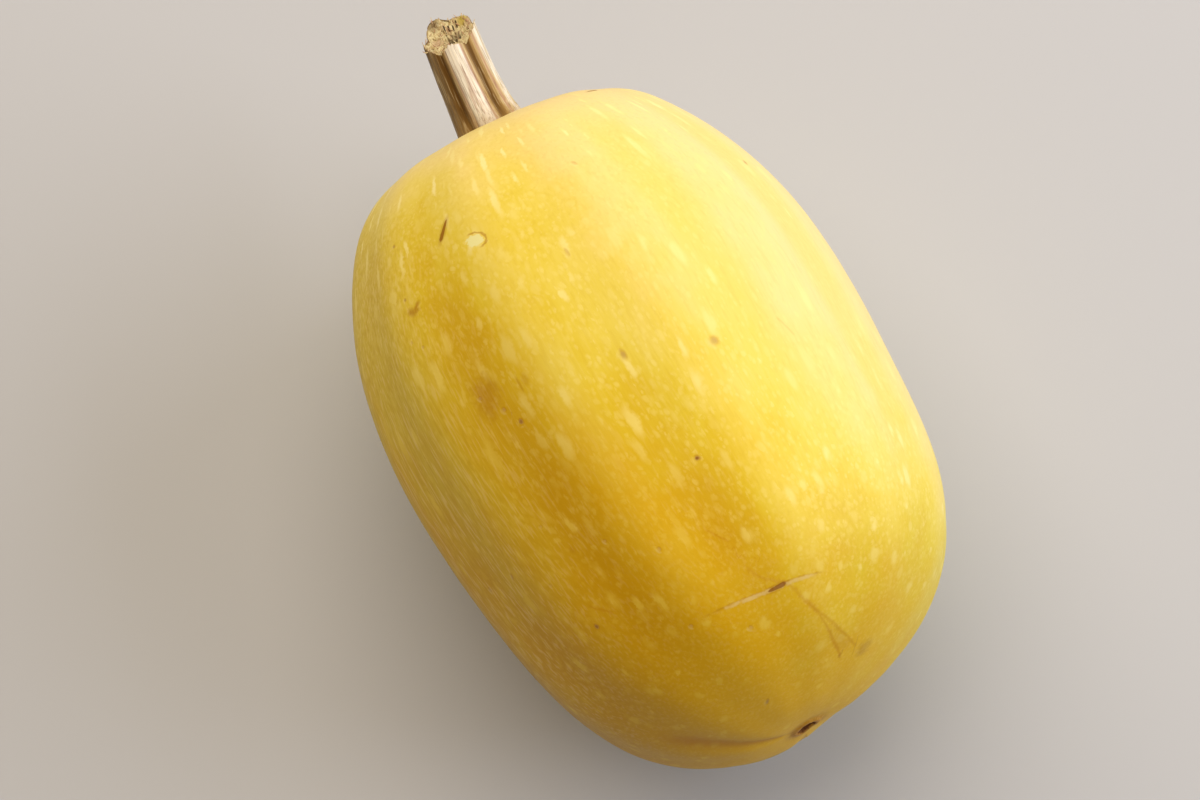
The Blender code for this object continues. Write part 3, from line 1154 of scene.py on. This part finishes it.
@dataclass
class TornFibres:
    """The fibres that stand up from the stalk's cut, where it tore. Lengths in millimetres.

    tip is how thick their ends are as a share of their feet, and tuft is how far apart they curl differently.
    """

    stalk: Stalk
    count: int = 80
    seed: int = 11
    thick: float = 0.16
    longest: float = 2.6
    tip: float = 0.3
    sides: int = 5
    joints: int = 4
    curl: float = 1.6
    tuft: float = 1.6

    def grow(self, root: Vector, finish: bpy.types.Material) -> bpy.types.Object:
        """Builds the fibres.

        Args:
            root: Where the stem stands, in millimetres.
            finish: Their material.

        Returns:
            The fibres as one mesh of thin cones, each sunk into the cut.
        """
        g = self.stalk.tree("Fibres", root, finish, **sizes_of(self), unit=MM)
        points = g.add("GeometryNodePoints", {"Count": g.known["count"], "Radius": MM})
        for offset, (name, low, high) in enumerate((
            ("turn", 0.0, 2 * math.pi), ("spread", 0.0, 1.0), ("size", 0.35, 1.0),
            ("tilt_x", -1.0, 1.0), ("tilt_y", -1.0, 1.0), ("tilt_z", -1.0, 1.0),
        )):
            seed = g.formula("seed + offset", offset=float(offset))
            span = {"Min": low, "Max": high, "Seed": seed}
            g.known[name] = g.add("FunctionNodeRandomValue", span, "Value", data_type="FLOAT")
        g.known.update(share=1.0, capped=1.0)
        g.let(inward="0.97 * (1 - 0.75 * spread ** 2)")
        self.stalk.measure(g)
        points = g.add("GeometryNodeSetPosition", {"Geometry": points, "Position": self.stalk.position(g)})
        towards = g.formula("(forward_x + 0.8 * tilt_x, forward_y + 0.8 * tilt_y, forward_z + 0.8 * tilt_z)")
        rotation = g.add("FunctionNodeAlignRotationToVector", {"Vector": towards}, axis="Z")
        cone = g.add("GeometryNodeMeshCone", {
            "Vertices": g.known["sides"], "Side Segments": g.known["joints"],
            "Radius Top": g.formula("tip * thick * unit"), "Radius Bottom": g.formula("thick * unit"),
            "Depth": g.formula("longest * unit"),
        }, "Mesh")
        fibres = g.add("GeometryNodeInstanceOnPoints", {
            "Points": points, "Instance": cone, "Rotation": rotation, "Scale": g.formula("(1, 1, size)")})
        fibres = g.add("GeometryNodeRealizeInstances", {"Geometry": fibres})
        place = g.scaled(g.add("GeometryNodeInputPosition"), (self.tuft * MM,) * 3)
        bends = g.add("ShaderNodeTexNoise", {"Vector": place, "Scale": 1.0}, "Color")
        middle = g.add("ShaderNodeVectorMath", {0: bends, 1: (0.5, 0.5, 0.5)}, operation="SUBTRACT")
        inputs = {0: middle, "Scale": g.formula("curl * unit")}
        shift = g.add("ShaderNodeVectorMath", inputs, operation="SCALE")
        return g.cast("fibres", g.add("GeometryNodeSetPosition", {"Geometry": fibres, "Offset": shift}))


@dataclass(frozen=True)
class Softbox:
    """A soft light: where it stands as seen in the picture, and its size in metres and power in watts.

    turn is anticlockwise from the picture's right, and rise is the angle above the floor. One that doesn't
    shine only fills, and adds no sheen.
    """

    name: str
    turn: float
    rise: float
    distance: float
    size: float
    power: float
    colour: str
    shines: bool = True


@dataclass
class Studio:
    """A plain pale floor, soft lights, and the camera at the photograph's angle. Lengths in metres."""

    azimuth: float = 26.6
    elevation: float = 76.0
    distance: float = 0.7425
    aim: tuple[float, float, float] = (-0.0087, -0.0048, 0.0691)
    lens: float = 80.0
    floor_size: float = 6.0
    floor_drop: float = 0.0001
    floor_colour: str = "#BCC1D0"
    sky_colour: str = "#FFE6BC"
    sky_strength: float = 0.24
    boxes: tuple[Softbox, ...] = (
        Softbox("window", 12.0, 25.0, 1.6, 1.5, 21.3, "#FFFFFF"),
        Softbox("fill", 112.0, 60.0, 1.8, 2.0, 38.0, "#FFEDCF", False),
    )

    def directions(self) -> tuple[Vector, Vector]:
        """The picture's right and its up, both along the floor."""
        turn = math.radians(self.azimuth)
        return Vector((math.cos(turn), -math.sin(turn), 0.0)), Vector((math.sin(turn), math.cos(turn), 0.0))

    def stand(
        self, data: bpy.types.Camera | bpy.types.Light, towards: Vector, distance: float,
    ) -> bpy.types.Object:
        """Stands a camera or a light so that it looks at the squash.

        Args:
            data: The camera or the light.
            towards: The direction to it from the squash.
            distance: How far off it is.

        Returns:
            Its object.
        """
        made = bpy.data.objects.new(data.name, data)
        made.location = Vector(self.aim) + towards * distance
        made.rotation_euler = towards.to_track_quat("Z", "Y").to_euler()
        bpy.context.scene.collection.objects.link(made)
        return made

    def add_camera(self) -> None:
        """Adds the camera and makes it the scene's."""
        ahead = self.directions()[1]
        rise = math.radians(self.elevation)
        back = Vector((0.0, 0.0, math.sin(rise))) - ahead * math.cos(rise)
        data = bpy.data.cameras.new("camera")
        data.lens = self.lens
        bpy.context.scene.camera = self.stand(data, back, self.distance)

    def add_lights(self) -> None:
        """Adds the soft lights and the pale sky that fills the shadows."""
        right, ahead = self.directions()
        for box in self.boxes:
            data = bpy.data.lights.new(box.name, "AREA")
            data.shape = "SQUARE"
            data.size = box.size
            data.energy = box.power
            data.color = linear(box.colour)[:3]
            turn, rise = math.radians(box.turn), math.radians(box.rise)
            level = right * math.cos(turn) + ahead * math.sin(turn)
            towards = level * math.cos(rise) + Vector((0.0, 0.0, math.sin(rise)))
            self.stand(data, towards, box.distance).visible_glossy = box.shines
        world = bpy.data.worlds.new("pale sky")
        world.use_nodes = True
        sky = world.node_tree.nodes["Background"].inputs
        sky["Color"].default_value = linear(self.sky_colour)
        sky["Strength"].default_value = self.sky_strength
        world.cycles_visibility.glossy = False
        bpy.context.scene.world = world
        bpy.context.scene.view_settings.view_transform = "Standard"

    def add_floor(self) -> None:
        """Adds the floor: painted board, matt and plain."""
        data = bpy.data.meshes.new("floor")
        half = self.floor_size / 2
        corners = [(x * half, y * half, -self.floor_drop) for x, y in ((-1, -1), (1, -1), (1, 1), (-1, 1))]
        data.from_pydata(corners, [], [(0, 1, 2, 3)])
        data.materials.append(MaterialGraph("Matt painted board").end(
            {"Base Color": linear(self.floor_colour), "Roughness": 0.85}))
        floor = bpy.data.objects.new("floor", data)
        bpy.context.scene.collection.objects.link(floor)


def dress(piece: bpy.types.Object, node: str = "") -> None:
    """Adds a piece to the squash.

    Args:
        piece: The piece.
        node: The node of the frame that it replaces, if it does.
    """
    if node:
        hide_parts(node)
    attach(piece, BODY)
    faces = sum(len(polygon.vertices) - 2 for polygon in piece.data.polygons)
    LOG.info("%s: %d triangles, for %s", piece.name, faces, node or "the looks")


def main() -> None:
    """Builds the squash and the studio round it."""
    logging.basicConfig(level=logging.INFO, format="%(message)s")
    studio = Studio()
    studio.add_camera()
    studio.add_lights()
    studio.add_floor()
    rind = Rind()
    dress(rind.grow(SquashSkin().make(rind.arc)), "fruit")
    root = rind.stem_root()
    stalk = Stalk()
    dress(stalk.grow(root, DriedStalk().make()), "stem")
    dress(TornFibres(stalk).grow(root, TornFibre().make()))


if __name__ == "__main__":
    main()
